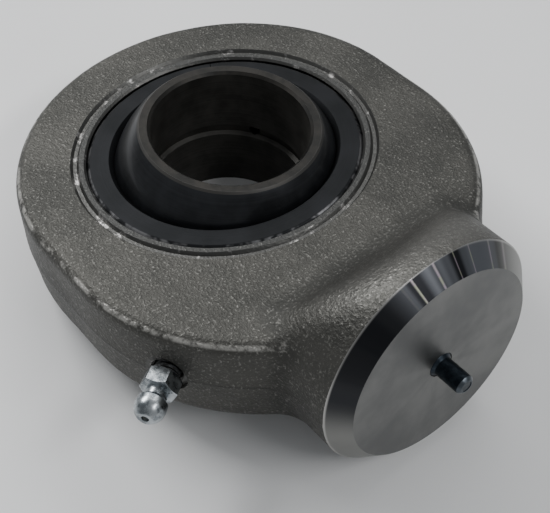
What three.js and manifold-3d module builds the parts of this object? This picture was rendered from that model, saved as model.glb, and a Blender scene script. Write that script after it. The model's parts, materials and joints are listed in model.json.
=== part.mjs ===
// Weld-on rod eye with a radial spherical plain bearing, for the end of a hydraulic cylinder rod.
//
// A forged steel eye carries a pressed-in, staked spherical bearing. Its round shank ends in a bevelled
// face that is butt-welded to the rod, centred by a short pin. A grease nipple feeds the bearing.
//
// Millimetres. The origin is the centre of the bearing's sphere, +Z is the axis of the bearing seat, and
// +X is the axis of the shank, out of the weld face.

import * as THREE from 'three';
import { mergeVertices } from 'three/addons/utils/BufferGeometryUtils.js';
import Module from 'manifold-3d';

const wasm = await Module();
wasm.setup();

// ---------------------------------------------------------------- driving dimensions

// Spherical bearing, wide dimension series
const boreDiameter = 35;
const innerRingWidth = 35;
const sphereDiameter = 53;
const outerRingDiameter = 62;
const outerRingWidth = 22;
const runningClearance = 0.1;
const boreChamfer = 0.6;
const faceEdgeChamfer = 0.45;
const outerRingEdgeChamfer = 0.9;
const mouthChamferDepth = 1.3;
const mouthChamferFlare = 1.4;
const splitWidth = 0.15;
const splitAzimuth = 150;

// Grease grooves and holes of the two rings
const innerGrooveWidth = 3.2;
const innerGrooveDepth = 1;
const outerGrooveWidth = 4;
const outerGrooveDepth = 0.9;
const innerRingHoleDiameter = 2.5;
const outerRingHoleDiameter = 3;
const innerRingHoleCount = 2;
const outerRingHoleCount = 2;

// How the inner ring leans in the outer one as the eye lies on a bench
const ringLean = 7;
const ringLeanAzimuth = 36;

// Forged eye
const headDiameter = 94;
const headStretch = 14;
const ringRecess = 0.5;
const headDraft = 3;
const headEdgeRadius = 2.6;
const seatGap = 0.15;

// Staking of the outer ring: a rolled groove that leans a lip over the ring's chamfer, on both faces
const stakeInset = 1.4;
const stakeWidth = 1.6;
const stakeDepth = 0.7;
const lipOverhang = 0.3;
const lipThickness = 1;

// Shank and weld face
const shankDiameter = 53;
const shankReach = 8;
const bevelDepth = 4;
const shoulderRadius = 8;
const shoulderRunOut = 5;
const shoulderRunOutDrop = 1.6;
const shankLand = 4;
const rampAngle = 45;
const rampFootRadius = 7;

// Centring pin
const pinDiameter = 4.3;
const pinStickOut = 7;
const pinDepth = 11;
const pinChamfer = 0.6;
const pinFlareDiameter = 5.5;
const pinFlareLength = 0.5;
const pinGap = 0.15;

// Grease nipple and its place on the head
const nippleAzimuth = -56;
const nippleAim = 7;
const spotFaceDepth = 0.8;
const spotFaceDiameter = 9.4;
const nippleStandOff = 1.6;
const nippleThreadDiameter = 6;
const nippleThreadLength = 7;
const nippleHexAcross = 7;
const nippleHexHeight = 3.6;
const hexChamferAngle = 30;
const nippleNeckDiameter = 4.6;
const nippleNeckLength = 1.6;
const nippleHeadDiameter = 6.5;
const nippleHeadLength = 5;
const nippleTipDiameter = 3.4;
const nippleMouthDiameter = 1.6;
const nippleMouthLength = 0.8;
const nippleChannelDiameter = 2.8;
const nippleCrimpLength = 0.7;
const nippleGap = 0.15;
const tappedHoleChamfer = 0.5;
const tappedHoleDepth = 9;
const greaseDrillDiameter = 3;

// Check ball and its spring, inside the nipple
const checkBallDiameter = 2.4;
const springWireDiameter = 0.36;
const springDiameter = 2.3;
const springTurns = 8;
const contactGap = 0.06;

// Facets
const roundSides = 64;
const smallRoundSides = 24;
const hollowStepAngle = 4;
const ballStepAngle = 6;
const filletSteps = 4;
const springWireSides = 6;
const springStepsPerTurn = 12;
const mergeDistance = 1e-5;
const cutOverrun = 2;

// ---------------------------------------------------------------- worked out from them

const radians = THREE.MathUtils.degToRad;
const degrees = THREE.MathUtils.radToDeg;

const boreRadius = boreDiameter / 2;
const sphereRadius = sphereDiameter / 2;
const seatRadius = outerRingDiameter / 2;
const outerRingRadius = seatRadius - seatGap;
const headRadius = headDiameter / 2;
const headHalf = outerRingWidth / 2 + ringRecess;
const shankRadius = shankDiameter / 2;
const weldFaceDistance = headStretch + headRadius + shankReach;
const rampSlope = radians(rampAngle);
const rampCrest = weldFaceDistance - bevelDepth - shankLand;
const rampFootLift = rampFootRadius * (1 - Math.cos(rampSlope));
const rampRun = (shankRadius - headHalf - rampFootLift) / Math.tan(rampSlope);
const rampStart = rampCrest - rampRun - rampFootRadius * Math.sin(rampSlope);
const pinRadius = pinDiameter / 2;
const pinFlareRadius = pinFlareDiameter / 2;
const nippleThreadRadius = nippleThreadDiameter / 2;
const checkBallRadius = checkBallDiameter / 2;

const steel = { metalness: 0.9, roughness: 0.55 };
const finishes = {
  forging: new THREE.MeshStandardMaterial({ ...steel, color: 0x6a6a66, roughness: 0.7 }),
  blackRing: new THREE.MeshStandardMaterial({ ...steel, color: 0x2a2c30, roughness: 0.45 }),
  zinc: new THREE.MeshStandardMaterial({ ...steel, color: 0xb4bcc2, roughness: 0.3 }),
  blackPin: new THREE.MeshStandardMaterial({ ...steel, color: 0x20262c, roughness: 0.4 }),
  ballSteel: new THREE.MeshStandardMaterial({ ...steel, color: 0xc8ccd0, roughness: 0.15 }),
  springSteel: new THREE.MeshStandardMaterial({ ...steel, color: 0x8a8f94, roughness: 0.35 }),
};

// ---------------------------------------------------------------- shape tools

const point = (x, y) => new THREE.Vector2(x, y);

// Points of an arc in the plane, both ends included. Angles in degrees.
function arc(centreX, centreY, radius, from, to, steps) {
  const points = [];
  for (let k = 0; k <= steps; k++) {
    const angle = radians(from + ((to - from) * k) / steps);
    points.push(point(centreX + radius * Math.cos(angle), centreY + radius * Math.sin(angle)));
  }
  return points;
}

// A geometry as a solid that can be cut and joined
function solid(geometry) {
  const bare = geometry.clone();
  bare.deleteAttribute('normal');
  bare.deleteAttribute('uv');
  const merged = mergeVertices(bare, mergeDistance);
  const mesh = new wasm.Mesh({
    numProp: 3,
    vertProperties: new Float32Array(merged.attributes.position.array),
    triVerts: new Uint32Array(merged.index.array),
  });
  return new wasm.Manifold(mesh);
}

// A solid back as a geometry
function geometryOf(body) {
  const mesh = body.getMesh();
  const geometry = new THREE.BufferGeometry();
  geometry.setAttribute('position', new THREE.BufferAttribute(mesh.vertProperties, 3));
  geometry.setIndex(new THREE.BufferAttribute(mesh.triVerts, 1));
  return geometry;
}

// A turned shape: the profile is (radius, height) points, anticlockwise, and the axis ends up on +Z.
function turned(profile, sides = roundSides) {
  return new THREE.LatheGeometry(profile, sides).rotateX(Math.PI / 2);
}

// The same with its axis on +X
function turnedAlongX(profile, sides = roundSides) {
  return new THREE.LatheGeometry(profile, sides).rotateZ(-Math.PI / 2);
}

// A turned ring, whose profile closes on itself
function turnedRing(profile, sides = roundSides) {
  return turned([...profile, profile[0].clone()], sides);
}

// A plain round bar from one height to another on +Z
function roundBar(radius, from, to, sides = smallRoundSides) {
  return turned([point(0, from), point(radius, from), point(radius, to), point(0, to)], sides);
}

// Turn a shape whose axis is +Z so that it points sideways, at an azimuth in the XY plane
function pointOutwards(geometry, azimuth) {
  return geometry.rotateY(Math.PI / 2).rotateZ(radians(azimuth));
}

// Radial holes at equal angles, the first at a given azimuth
function cutRadialHoles(body, count, diameter, from, to, firstAzimuth) {
  let cut = body;
  for (let k = 0; k < count; k++) {
    const azimuth = firstAzimuth + (360 * k) / count;
    const drill = pointOutwards(roundBar(diameter / 2, from, to), azimuth);
    cut = cut.subtract(solid(drill));
  }
  return cut;
}

// A closed shape through level outlines of the same number of points, each at its own height
function stackOutlines(levels) {
  const count = levels[0].outline.length;
  const positions = levels.flatMap(({ outline, height }) => outline.flatMap((p) => [p.x, p.y, height]));
  const faces = THREE.ShapeUtils.triangulateShape(levels[0].outline, []);
  const top = (levels.length - 1) * count;
  const index = [];
  for (const [a, b, c] of faces) {
    index.push(a, c, b);
    index.push(top + a, top + b, top + c);
  }
  for (let level = 0; level + 1 < levels.length; level++) {
    for (let k = 0; k < count; k++) {
      const low = level * count + k;
      const lowNext = level * count + ((k + 1) % count);
      index.push(low, lowNext, lowNext + count);
      index.push(low, lowNext + count, low + count);
    }
  }
  const geometry = new THREE.BufferGeometry();
  geometry.setAttribute('position', new THREE.Float32BufferAttribute(positions, 3));
  geometry.setIndex(index);
  return geometry;
}

const parts = new THREE.Group();

function addPart(name, geometry, finish) {
  const mesh = new THREE.Mesh(geometry, finish);
  mesh.name = name;
  parts.add(mesh);
  return mesh;
}

// ---------------------------------------------------------------- forged and machined eye

// Half of the head's outline in plan, from the shank round to the far end, inset by a distance. The head is
// two arcs of one radius, a stretch apart, and a hollow shoulder runs it into the shank.
function headOutlineHalf(inset) {
  const radius = headRadius - inset;
  const halfShank = shankRadius - inset;
  const shoulder = shoulderRadius + inset;
  const shoulderY = halfShank + shoulder;
  const shoulderX = headStretch + Math.sqrt((radius + shoulder) ** 2 - shoulderY ** 2);
  const meet = degrees(Math.atan2(shoulderY, shoulderX - headStretch));
  return [
    point(shoulderX + shoulderRunOut, halfShank - shoulderRunOutDrop),
    ...arc(shoulderX, shoulderY, shoulder, -90, meet - 180, filletSteps),
    ...arc(headStretch, 0, radius, meet, 90, 2 * filletSteps).slice(1),
    ...arc(0, 0, radius, 90, 180, roundSides / 4),
  ];
}

function headOutline(inset) {
  const upper = headOutlineHalf(inset);
  const lower = upper.slice(0, -1).reverse().map((p) => point(p.x, -p.y));
  return [...upper, ...lower];
}

// The head's slab: drafted side walls that meet at mid-height, and rounded edges
function headSlab() {
  const draftInset = (height) => Math.abs(height) * Math.tan(radians(headDraft));
  const levels = [];
  for (let k = 0; k <= filletSteps; k++) {
    const angle = (Math.PI / 2) * (1 - k / filletSteps);
    const height = headHalf - headEdgeRadius * (1 - Math.sin(angle));
    const inset = draftInset(height) + headEdgeRadius * (1 - Math.cos(angle));
    levels.push({ outline: headOutline(inset), height });
  }
  const lower = levels.map(({ outline, height }) => ({ outline, height: -height }));
  const middle = { outline: headOutline(0), height: 0 };
  return stackOutlines([...lower, middle, ...levels.reverse()]);
}

// The shank in side view: it swells from the head's faces to the full shank, above and below alike
function rampProfile() {
  const beyondCrest = rampCrest + cutOverrun / Math.tan(rampSlope);
  const foot = arc(rampStart, headHalf + rampFootRadius, rampFootRadius, -90, rampAngle - 90, filletSteps);
  const farX = weldFaceDistance + cutOverrun;
  const upper = [
    point(rampStart, headHalf - headEdgeRadius),
    ...foot,
    point(beyondCrest, shankRadius + cutOverrun),
    point(farX, shankRadius + cutOverrun),
  ];
  const lower = upper.map((p) => point(p.x, -p.y)).reverse();
  return new THREE.Shape([...upper, ...lower]);
}

function shank() {
  const depth = shankDiameter + 2 * cutOverrun;
  const ramp = new THREE.ExtrudeGeometry(rampProfile(), { depth, bevelEnabled: false })
    .translate(0, 0, -depth / 2)
    .rotateX(Math.PI / 2);
  const bar = turnedAlongX([
    point(0, rampStart - cutOverrun),
    point(shankRadius, rampStart - cutOverrun),
    point(shankRadius, weldFaceDistance - bevelDepth),
    point(shankRadius - bevelDepth, weldFaceDistance),
    point(0, weldFaceDistance),
  ]);
  return solid(ramp).intersect(solid(bar));
}

// The bored seat, closed in at both ends by the staked lips
function seatCutter() {
  const lipRadius = seatRadius - lipOverhang;
  const lipFoot = headHalf - lipThickness;
  const end = headHalf + cutOverrun;
  return turned([
    point(0, -end),
    point(seatRadius, -end),
    point(seatRadius, -headHalf),
    point(lipRadius, -headHalf + lipThickness / 2),
    point(seatRadius, -lipFoot),
    point(seatRadius, lipFoot),
    point(lipRadius, headHalf - lipThickness / 2),
    point(seatRadius, headHalf),
    point(seatRadius, end),
    point(0, end),
  ]);
}

// The rolled groove round the seat on the upper face
function stakeCutter() {
  const inner = seatRadius + stakeInset;
  const outer = inner + stakeWidth;
  const bottom = headHalf - stakeDepth;
  const bottomInset = stakeWidth / 4;
  return turnedRing([
    point(inner + bottomInset, bottom),
    point(outer - bottomInset, bottom),
    point(outer, headHalf),
    point(outer, headHalf + cutOverrun),
    point(inner, headHalf + cutOverrun),
    point(inner, headHalf),
  ]);
}

// How far a circle round (centreX, 0) is from the point the nipple aims at, along the nipple's axis
function distanceAlongNipple(centreX, radius) {
  const along = (centreX - nippleAim) * Math.cos(radians(nippleAzimuth));
  const across = (centreX - nippleAim) * Math.sin(radians(nippleAzimuth));
  return along + Math.sqrt(radius ** 2 - across ** 2);
}

const spotFace = distanceAlongNipple(headStretch, headRadius) - spotFaceDepth;
const nippleSeat = spotFace + nippleStandOff;

// The nipple's hole: a spot face across the slope of the wall, the tapped length, and a drilling on into
// the bearing seat
function nippleHoleCutter() {
  const holeRadius = nippleThreadRadius;
  const spotRadius = spotFaceDiameter / 2;
  const drillRadius = greaseDrillDiameter / 2;
  const bottom = spotFace - tappedHoleDepth;
  const drillEnd = distanceAlongNipple(0, seatRadius) - cutOverrun;
  const profile = [
    point(0, drillEnd),
    point(drillRadius, drillEnd),
    point(drillRadius, bottom - (holeRadius - drillRadius)),
    point(holeRadius, bottom),
    point(holeRadius, spotFace - tappedHoleChamfer),
    point(holeRadius + tappedHoleChamfer, spotFace),
    point(spotRadius, spotFace),
    point(spotRadius, spotFace + 2 * cutOverrun),
    point(0, spotFace + 2 * cutOverrun),
  ];
  return pointOutwards(turned(profile, smallRoundSides), nippleAzimuth).translate(nippleAim, 0, 0);
}

// The centring pin's hole in the weld face, with a sunk mouth for the pin's flare
function pinHoleCutter() {
  const holeRadius = pinRadius + pinGap;
  const mouthRadius = pinFlareRadius + pinGap;
  const mouthFoot = weldFaceDistance - pinFlareLength - pinGap;
  return turnedAlongX(
    [
      point(0, weldFaceDistance - pinDepth - pinGap),
      point(holeRadius, weldFaceDistance - pinDepth - pinGap),
      point(holeRadius, mouthFoot),
      point(mouthRadius, mouthFoot),
      point(mouthRadius, weldFaceDistance + cutOverrun),
      point(0, weldFaceDistance + cutOverrun),
    ],
    smallRoundSides,
  );
}

function rodEye() {
  const upperStake = solid(stakeCutter());
  const lowerStake = solid(stakeCutter().rotateX(Math.PI));
  return solid(headSlab())
    .add(shank())
    .subtract(solid(seatCutter()))
    .subtract(upperStake)
    .subtract(lowerStake)
    .subtract(solid(nippleHoleCutter()))
    .subtract(solid(pinHoleCutter()));
}

addPart('rod_eye', geometryOf(rodEye()), finishes.forging);

// ---------------------------------------------------------------- bearing outer ring

// Turned with a hollow sphere inside, grease grooves inside and out, and a chamfered mouth on each side.
// It is cracked across once, so that it springs open over the inner ring.
function outerRing() {
  const half = outerRingWidth / 2;
  const hollow = sphereRadius + runningClearance;
  const mouthRadius = Math.sqrt(hollow ** 2 - half ** 2) + mouthChamferFlare;
  const mouthHeight = half - mouthChamferDepth;
  const mouthAngle = degrees(Math.asin(mouthHeight / hollow));
  const grooveHalf = outerGrooveWidth / 2;
  const grooveAngle = degrees(Math.asin(grooveHalf / hollow));
  const steps = Math.ceil((mouthAngle - grooveAngle) / hollowStepAngle);
  const rimRadius = outerRingRadius - outerRingEdgeChamfer;
  const outerFloor = outerRingRadius - outerGrooveDepth;
  const innerFloor = hollow + outerGrooveDepth;
  const profile = [
    point(mouthRadius, -half),
    point(rimRadius, -half),
    point(outerRingRadius, -half + outerRingEdgeChamfer),
    point(outerRingRadius, -grooveHalf),
    point(outerFloor, -grooveHalf + outerGrooveDepth),
    point(outerFloor, grooveHalf - outerGrooveDepth),
    point(outerRingRadius, grooveHalf),
    point(outerRingRadius, half - outerRingEdgeChamfer),
    point(rimRadius, half),
    point(mouthRadius, half),
    ...arc(0, 0, hollow, mouthAngle, grooveAngle, steps),
    point(innerFloor, grooveHalf - outerGrooveDepth),
    point(innerFloor, -grooveHalf + outerGrooveDepth),
    ...arc(0, 0, hollow, -grooveAngle, -mouthAngle, steps),
  ];
  const split = new THREE.BoxGeometry(outerRingRadius, splitWidth, 2 * outerRingWidth)
    .translate(outerRingRadius, 0, 0)
    .rotateZ(radians(splitAzimuth));
  const ring = solid(turnedRing(profile)).subtract(solid(split));
  const holes = [outerRingHoleCount, outerRingHoleDiameter, boreRadius, outerRingDiameter, nippleAzimuth];
  return cutRadialHoles(ring, ...holes);
}

addPart('outer_ring', geometryOf(outerRing()), finishes.blackRing);

// ---------------------------------------------------------------- bearing inner ring

// A truncated ball with a bore. A grease groove runs round the ball and another round the bore, and radial
// holes join them.
function innerRing() {
  const half = innerRingWidth / 2;
  const edgeRadius = Math.sqrt(sphereRadius ** 2 - (half - faceEdgeChamfer) ** 2);
  const edgeAngle = degrees(Math.atan2(half - faceEdgeChamfer, edgeRadius));
  const grooveHalf = innerGrooveWidth / 2;
  const grooveAngle = degrees(Math.asin(grooveHalf / sphereRadius));
  const steps = Math.ceil((edgeAngle - grooveAngle) / ballStepAngle);
  const faceOuter = edgeRadius - faceEdgeChamfer;
  const faceInner = boreRadius + boreChamfer;
  const ballFloor = sphereRadius - innerGrooveDepth;
  const boreFloor = boreRadius + innerGrooveDepth;
  const profile = [
    point(faceInner, -half),
    point(faceOuter, -half),
    ...arc(0, 0, sphereRadius, -edgeAngle, -grooveAngle, steps),
    point(ballFloor, -grooveHalf + innerGrooveDepth / 2),
    point(ballFloor, grooveHalf - innerGrooveDepth / 2),
    ...arc(0, 0, sphereRadius, grooveAngle, edgeAngle, steps),
    point(faceOuter, half),
    point(faceInner, half),
    point(boreRadius, half - boreChamfer),
    point(boreRadius, grooveHalf),
    point(boreFloor, grooveHalf - innerGrooveDepth / 2),
    point(boreFloor, -grooveHalf + innerGrooveDepth / 2),
    point(boreRadius, -grooveHalf),
    point(boreRadius, -half + boreChamfer),
  ];
  const ring = solid(turnedRing(profile));
  const holes = [innerRingHoleCount, innerRingHoleDiameter, boreRadius / 2, sphereDiameter, nippleAzimuth];
  return cutRadialHoles(ring, ...holes);
}

const leanAxisAngle = radians(ringLeanAzimuth + 90);
const leanAxis = new THREE.Vector3(Math.cos(leanAxisAngle), Math.sin(leanAxisAngle), 0);
const innerRingMesh = addPart('inner_ring', geometryOf(innerRing()), finishes.blackRing);
innerRingMesh.quaternion.setFromAxisAngle(leanAxis, radians(ringLean));

// ---------------------------------------------------------------- centring pin

// A hard pin with a chamfered end. A short flare at the weld face seats it in its sunk hole.
function centringPin() {
  const flareFoot = weldFaceDistance - pinFlareLength;
  const tip = weldFaceDistance + pinStickOut;
  const root = weldFaceDistance - pinDepth;
  return turnedAlongX(
    [
      point(0, root),
      point(pinRadius - pinChamfer, root),
      point(pinRadius, root + pinChamfer),
      point(pinRadius, flareFoot),
      point(pinFlareRadius, flareFoot),
      point(pinFlareRadius, weldFaceDistance),
      point((pinRadius + pinFlareRadius) / 2, weldFaceDistance + pinFlareLength / 2),
      point(pinRadius, weldFaceDistance + pinFlareLength),
      point(pinRadius, tip - pinChamfer),
      point(pinRadius - pinChamfer, tip),
      point(0, tip),
    ],
    smallRoundSides,
  );
}

addPart('centring_pin', centringPin(), finishes.blackPin);

// ---------------------------------------------------------------- grease nipple

// Built upright on its hexagon's seat, then turned outwards with its group.
const hexTop = nippleHexHeight;
const neckTop = hexTop + nippleNeckLength;
const headLand = neckTop + (nippleHeadDiameter - nippleNeckDiameter) / 2;
const nippleTip = neckTop + nippleHeadLength;
const channelRadius = nippleChannelDiameter / 2;
const mouthRadius = nippleMouthDiameter / 2;
const valveSeatTop = nippleTip - nippleMouthLength;
const valveSeatFoot = valveSeatTop - (channelRadius - mouthRadius);
const channelFoot = -nippleThreadLength + nippleCrimpLength;

function nippleHexagon() {
  const cornerRadius = nippleHexAcross / Math.sqrt(3);
  const flatRadius = nippleHexAcross / 2;
  const chamferHeight = (cornerRadius - flatRadius) * Math.tan(radians(hexChamferAngle));
  const prism = new THREE.CylinderGeometry(cornerRadius, cornerRadius, hexTop, 6)
    .rotateX(Math.PI / 2)
    .translate(0, 0, hexTop / 2);
  const barrel = turned(
    [
      point(0, 0),
      point(flatRadius, 0),
      point(cornerRadius, chamferHeight),
      point(cornerRadius, hexTop - chamferHeight),
      point(flatRadius, hexTop),
      point(0, hexTop),
    ],
    2 * smallRoundSides,
  );
  return solid(prism).intersect(solid(barrel));
}

function nippleBody() {
  const threadRadius = nippleThreadRadius - nippleGap;
  const headRadiusHere = nippleHeadDiameter / 2;
  const tipRadius = nippleTipDiameter / 2;
  const crownAngle = degrees(Math.acos(tipRadius / headRadiusHere));
  const crownHeight = headRadiusHere * Math.sin(radians(crownAngle));
  const stem = turned(
    [
      point(0, -nippleThreadLength),
      point(threadRadius - nippleCrimpLength, -nippleThreadLength),
      point(threadRadius, -nippleThreadLength + nippleCrimpLength),
      point(threadRadius, 0),
      point(nippleNeckDiameter / 2, hexTop / 2),
      point(nippleNeckDiameter / 2, neckTop),
      point(headRadiusHere, headLand),
      ...arc(0, nippleTip - crownHeight, headRadiusHere, 0, crownAngle, filletSteps),
      point(0, nippleTip),
    ],
    smallRoundSides,
  );
  const channel = turned(
    [
      point(0, -nippleThreadLength - cutOverrun),
      point(mouthRadius, -nippleThreadLength - cutOverrun),
      point(mouthRadius, channelFoot),
      point(channelRadius, channelFoot),
      point(channelRadius, valveSeatFoot),
      point(mouthRadius, valveSeatTop),
      point(mouthRadius, nippleTip + cutOverrun),
      point(0, nippleTip + cutOverrun),
    ],
    smallRoundSides,
  );
  return solid(stem).add(nippleHexagon()).subtract(solid(channel));
}

// The ball rests under the valve's conical seat, which meets it 45 degrees up
const valveConeRise = contactGap * Math.SQRT2;
const checkBallCentre = valveSeatFoot + channelRadius - checkBallRadius * Math.SQRT2 - valveConeRise;

// The spring's coil, from its last turn on the crimp to the ball
function springGeometry() {
  const coilRadius = (springDiameter - springWireDiameter) / 2;
  const touch = checkBallRadius + springWireDiameter / 2 + contactGap;
  const top = checkBallCentre - Math.sqrt(touch ** 2 - coilRadius ** 2);
  const foot = channelFoot + springWireDiameter / 2 + contactGap;
  class Coil extends THREE.Curve {
    getPoint(t, target = new THREE.Vector3()) {
      const angle = 2 * Math.PI * springTurns * t;
      return target.set(coilRadius * Math.cos(angle), coilRadius * Math.sin(angle), foot + (top - foot) * t);
    }
  }
  const lastCorner = 360 * (1 - 1 / springWireSides);
  const outline = arc(0, 0, springWireDiameter / 2, 0, lastCorner, springWireSides - 1);
  const steps = springStepsPerTurn * springTurns;
  return new THREE.ExtrudeGeometry(new THREE.Shape(outline), { extrudePath: new Coil(), steps });
}

// One group carries the nipple's pieces, with its seat on the head's side wall
const nipple = new THREE.Group();
nipple.rotation.set(0, Math.PI / 2, 0);
const nippleTurn = new THREE.Group();
nippleTurn.rotation.z = radians(nippleAzimuth);
nippleTurn.position.x = nippleAim;
nipple.position.x = nippleSeat;
nippleTurn.add(nipple);
parts.add(nippleTurn);

const checkBall = new THREE.SphereGeometry(checkBallRadius, smallRoundSides, smallRoundSides / 2);
checkBall.translate(0, 0, checkBallCentre);

nipple.add(addPart('nipple_body', geometryOf(nippleBody()), finishes.zinc));
nipple.add(addPart('nipple_ball', checkBall, finishes.ballSteel));
nipple.add(addPart('nipple_spring', springGeometry(), finishes.springSteel));

export default parts;
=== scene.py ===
import json
import math

import bmesh
import bpy
from mathutils import Matrix, Vector


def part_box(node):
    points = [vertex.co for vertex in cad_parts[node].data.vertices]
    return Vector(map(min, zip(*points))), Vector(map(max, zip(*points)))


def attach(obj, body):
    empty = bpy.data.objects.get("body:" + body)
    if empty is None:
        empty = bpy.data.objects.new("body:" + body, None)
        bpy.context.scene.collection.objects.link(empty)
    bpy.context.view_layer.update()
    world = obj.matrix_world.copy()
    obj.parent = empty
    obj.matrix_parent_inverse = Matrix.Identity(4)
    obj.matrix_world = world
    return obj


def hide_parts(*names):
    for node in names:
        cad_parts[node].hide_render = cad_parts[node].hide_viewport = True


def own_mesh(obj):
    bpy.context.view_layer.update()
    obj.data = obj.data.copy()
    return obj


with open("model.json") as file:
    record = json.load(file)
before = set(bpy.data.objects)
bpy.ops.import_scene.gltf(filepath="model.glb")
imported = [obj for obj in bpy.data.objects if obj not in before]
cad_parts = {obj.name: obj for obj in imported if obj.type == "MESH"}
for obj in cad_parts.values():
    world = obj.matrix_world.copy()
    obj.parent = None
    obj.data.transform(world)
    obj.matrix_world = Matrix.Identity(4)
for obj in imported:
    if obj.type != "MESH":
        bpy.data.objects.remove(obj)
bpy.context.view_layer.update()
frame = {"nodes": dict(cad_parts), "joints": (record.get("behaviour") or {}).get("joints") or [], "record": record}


# ---------------------------------------------------------------- camera
# A short telephoto held above the weld face's corner of the eye, rolled a little clockwise.

camera_place = Vector((0.15993, -0.09755, 0.17725))
camera_aim = Vector((0.0251, -0.00645, 0))
camera_roll = math.radians(-5.79)

camera_data = bpy.data.cameras.new("camera")
camera_data.lens = 73.7
camera_data.clip_start = 0.01
camera = bpy.data.objects.new("camera", camera_data)
bpy.context.scene.collection.objects.link(camera)
looking = (camera_aim - camera_place).to_track_quat("-Z", "Y").to_matrix().to_4x4()
camera.matrix_world = Matrix.Translation(camera_place) @ looking @ Matrix.Rotation(camera_roll, 4, "Z")
bpy.context.scene.camera = camera


# ---------------------------------------------------------------- bench top and light
# A round bench top of white enamel. The eye lies on the lower lip of its weld bevel and the lower rim of
# its head, so the top slopes a little against the bearing's axis. Three soft lamps hang above it.

class Signal:
    """One socket of a node tree, to be used in plain expressions: an operator adds a Math node."""

    def __init__(self, tree, socket=None):
        self.tree = tree
        self.socket = socket

    def make(self, kind, inputs=(), output=0, **settings):
        """Adds a node of any kind, sets it up, feeds its sockets and gives one of its outputs."""
        node = self.tree.nodes.new(kind)
        for name, value in settings.items():
            setattr(node, name, value)
        for key, value in dict(inputs).items():
            if isinstance(value, Signal):
                self.tree.links.new(value.socket, node.inputs[key])
            else:
                node.inputs[key].default_value = value
        return Signal(self.tree, node.outputs[output])

    def maths(self, operation, *values):
        return self.make("ShaderNodeMath", enumerate(values), operation=operation)

    def __add__(self, other):
        return self.maths("ADD", self, other)

    def __radd__(self, other):
        return self.maths("ADD", other, self)

    def __sub__(self, other):
        return self.maths("SUBTRACT", self, other)

    def __rsub__(self, other):
        return self.maths("SUBTRACT", other, self)

    def __mul__(self, other):
        return self.maths("MULTIPLY", self, other)

    def __rmul__(self, other):
        return self.maths("MULTIPLY", other, self)

    def __truediv__(self, other):
        return self.maths("DIVIDE", self, other)

    def __rtruediv__(self, other):
        return self.maths("DIVIDE", other, self)

    def __pow__(self, power):
        return self.maths("POWER", self, power)

    def __abs__(self):
        return self.maths("ABSOLUTE", self)

    def least(self, other):
        return self.maths("MINIMUM", self, other)

    def most(self, other):
        return self.maths("MAXIMUM", self, other)

    def fade(self, low, high):
        """Rises smoothly from 0 to 1 as the value goes from low to high."""
        edges = {"Value": self, "From Min": low, "From Max": high}
        return self.make("ShaderNodeMapRange", edges, interpolation_type="SMOOTHSTEP")


def blended(low_shade, high_shade, share):
    """A colour that goes from one shade to the other."""
    shades = {0: share, 6: (*low_shade, 1) if isinstance(low_shade, tuple) else low_shade}
    shades[7] = (*high_shade, 1) if isinstance(high_shade, tuple) else high_shade
    return share.make("ShaderNodeMix", shades, output=2, data_type="RGBA")


def finish_of(name, look, constants):
    """A material whose shader takes the sockets that look() gives, and some plain numbers."""
    material = bpy.data.materials.new(name)
    material.use_nodes = True
    tree = material.node_tree
    shader = tree.nodes["Principled BSDF"]
    for key, value in constants.items():
        shader.inputs[key].default_value = value
    place = Signal(tree).make("ShaderNodeTexCoord", output="Object")
    for key, signal in look(place).items():
        tree.links.new(signal.socket, shader.inputs[key])
    return material


def grain(place, size, detail=3.0, roughness=0.5, stretch=None):
    """Noise from 0 to 1, about a size in metres across, drawn out along an axis if asked."""
    if stretch:
        place = place.make("ShaderNodeMapping", {"Vector": place, "Scale": stretch})
    settings = {"Vector": place, "Scale": 1 / size, "Detail": detail, "Roughness": roughness}
    return place.make("ShaderNodeTexNoise", settings)


def relief(height, depth):
    """A normal from a height between 0 and 1, raised by a depth in metres."""
    return height.make("ShaderNodeBump", {"Height": height, "Distance": depth, "Strength": 1.0})


def link(name, mesh):
    """A mesh as an object at the origin."""
    piece = bpy.data.objects.new(name, mesh)
    bpy.context.scene.collection.objects.link(piece)
    return piece


eye_low, eye_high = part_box("rod_eye")
shank_radius = eye_high.z
head_radius = -eye_low.x
weld_face = eye_high.x
ring_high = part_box("outer_ring")[1]
face_step = 0.0005
head_half = ring_high.z + face_step
bevel_depth = 0.004

bevel_foot = weld_face - bevel_depth
rim_inset = 0.0012
rim_foot = -head_radius + rim_inset
bench_slope = math.atan2(shank_radius - head_half, bevel_foot - rim_foot)
bench_radius = 0.27
bench_thickness = 0.012
bench_shift = 0.045
bench_sides = 160


def bench_top():
    """A flat disc under the eye, at the slope that the eye rests at."""
    shape = bmesh.new()
    bmesh.ops.create_circle(shape, cap_ends=True, radius=bench_radius, segments=bench_sides)
    doubled = bmesh.ops.extrude_face_region(shape, geom=shape.faces[:])
    lowered = [vert for vert in doubled["geom"] if isinstance(vert, bmesh.types.BMVert)]
    bmesh.ops.translate(shape, verts=lowered, vec=(0, 0, -bench_thickness))
    bmesh.ops.recalc_face_normals(shape, faces=shape.faces[:])
    turn = Matrix.Rotation(bench_slope, 4, "Y")
    rest_point = Vector((bevel_foot, 0, -shank_radius))
    shape.transform(Matrix.Translation(rest_point) @ turn @ Matrix.Translation((-bench_shift, 0, 0)))
    mesh = bpy.data.meshes.new("bench_top")
    shape.to_mesh(mesh)
    shape.free()
    return mesh


def enamel_look(place):
    """White enamel, a little patchy, with a soft gloss."""
    patches = grain(place, 0.06, 2.0)
    return {
        "Base Color": blended((0.78, 0.785, 0.79), (0.84, 0.845, 0.85), patches),
        "Roughness": 0.24 + 0.12 * grain(place, 0.02, 4.0),
    }


bench = link("bench_top", bench_top())
bench.data.materials.append(finish_of("white_enamel", enamel_look, {}))

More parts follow.
